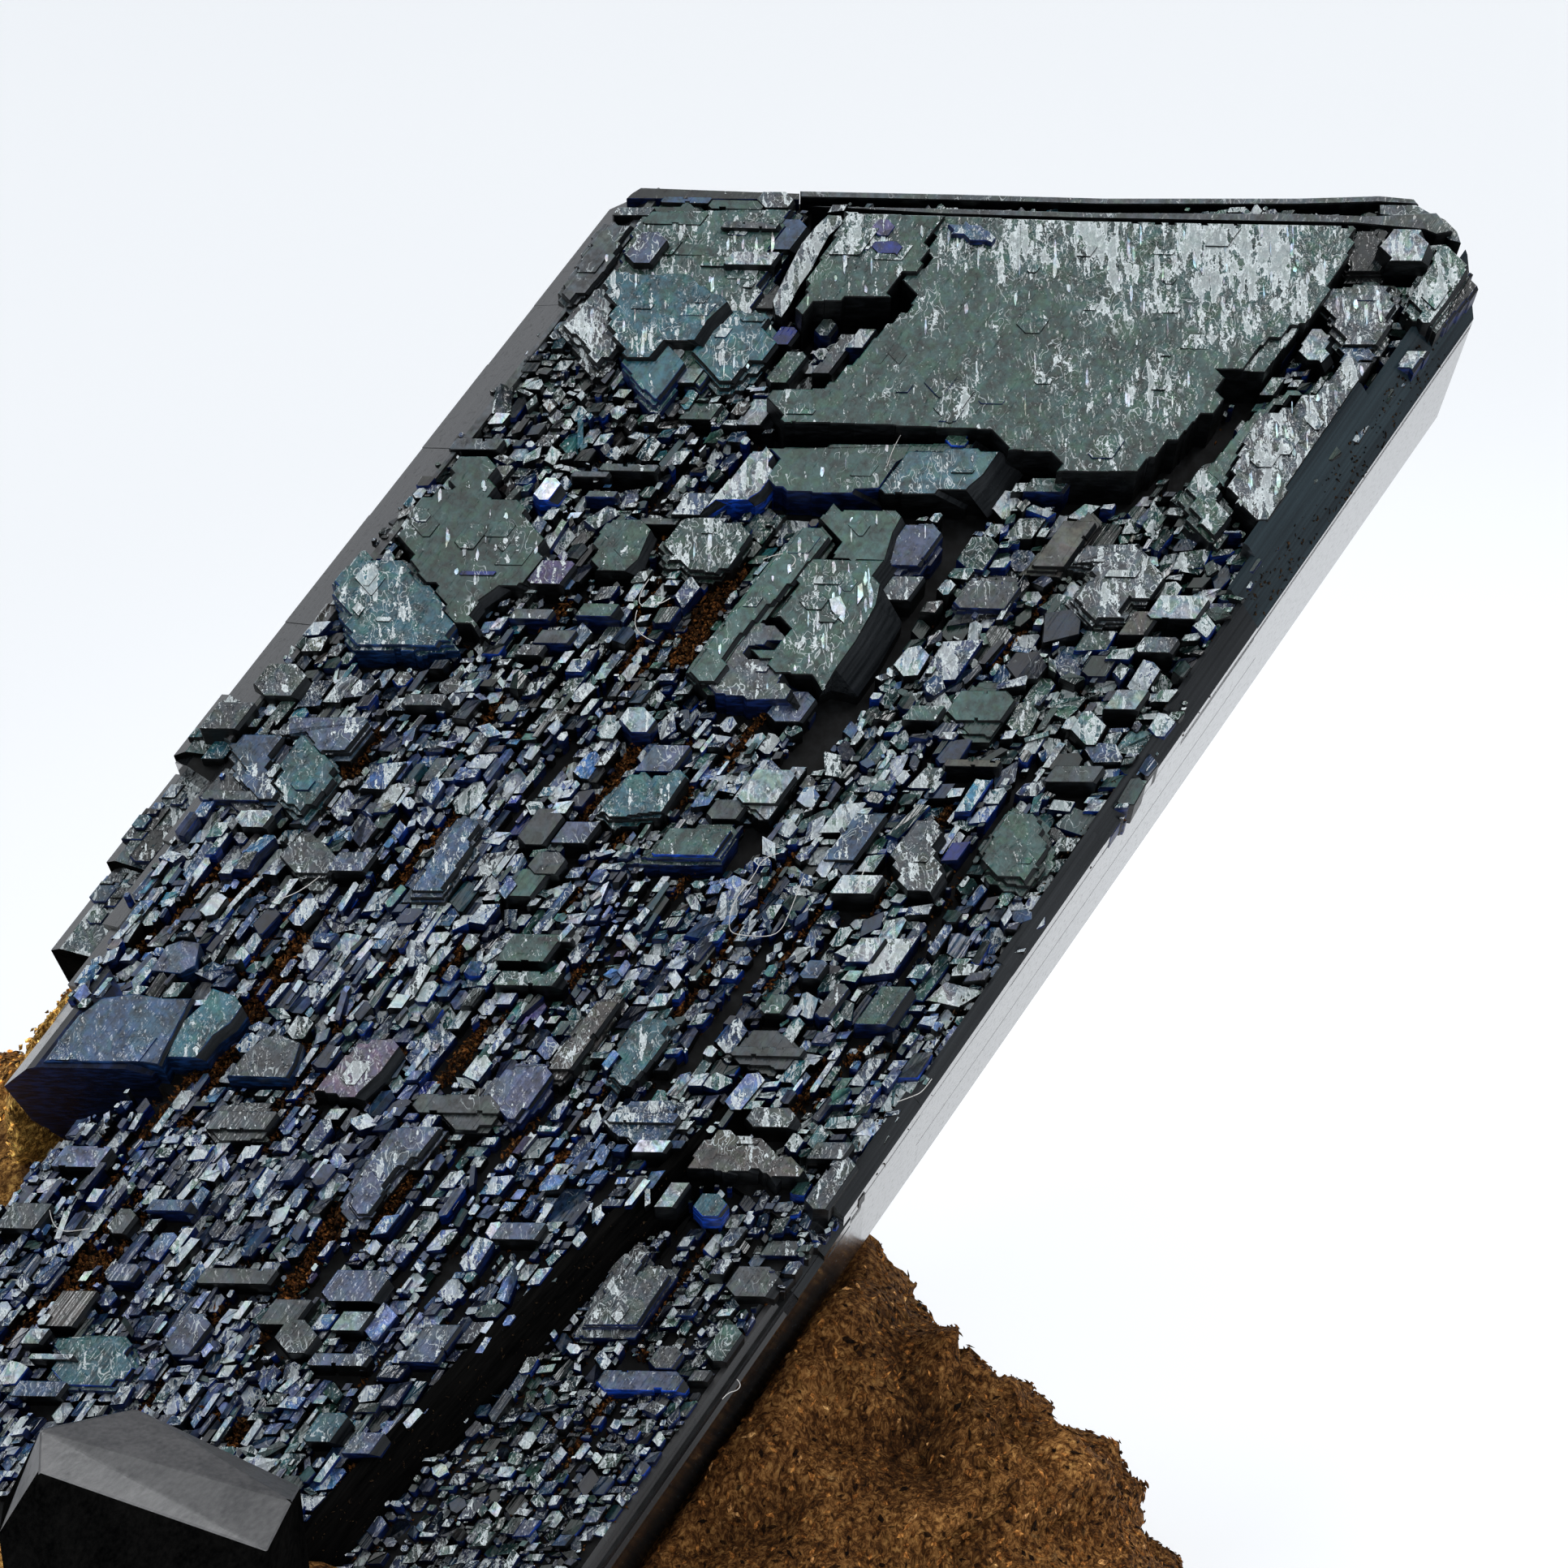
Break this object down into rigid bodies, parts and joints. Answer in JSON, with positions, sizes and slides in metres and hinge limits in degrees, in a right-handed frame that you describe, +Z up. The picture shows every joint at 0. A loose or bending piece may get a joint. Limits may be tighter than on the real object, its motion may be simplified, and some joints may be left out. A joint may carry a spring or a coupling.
{
  "type": "vivianite crystal on matrix",
  "caption": "Large dark green-blue bladed vivianite crystal with a stepped mosaic face, leaning out of a brown limonite rock that rests flat.",
  "frame": {"origin": "on the rock's flat underside, below the middle of the specimen", "axes": "+Z up from the surface the specimen rests on; the blade rises toward +X, +Y and +Z, and its broad stepped face looks up and toward -Y"},
  "size_m": [0.0592, 0.0572, 0.0495],
  "materials": {
    "limonite": "rough, granular brown limonite",
    "vivianite": "glossy, nearly opaque dark green to blue crystal faces"
  },
  "bodies": {
    "root": {"matrix_rock": "limonite", "vivianite_blade": "vivianite", "front_crystal": "vivianite"}
  },
  "joints": []
}
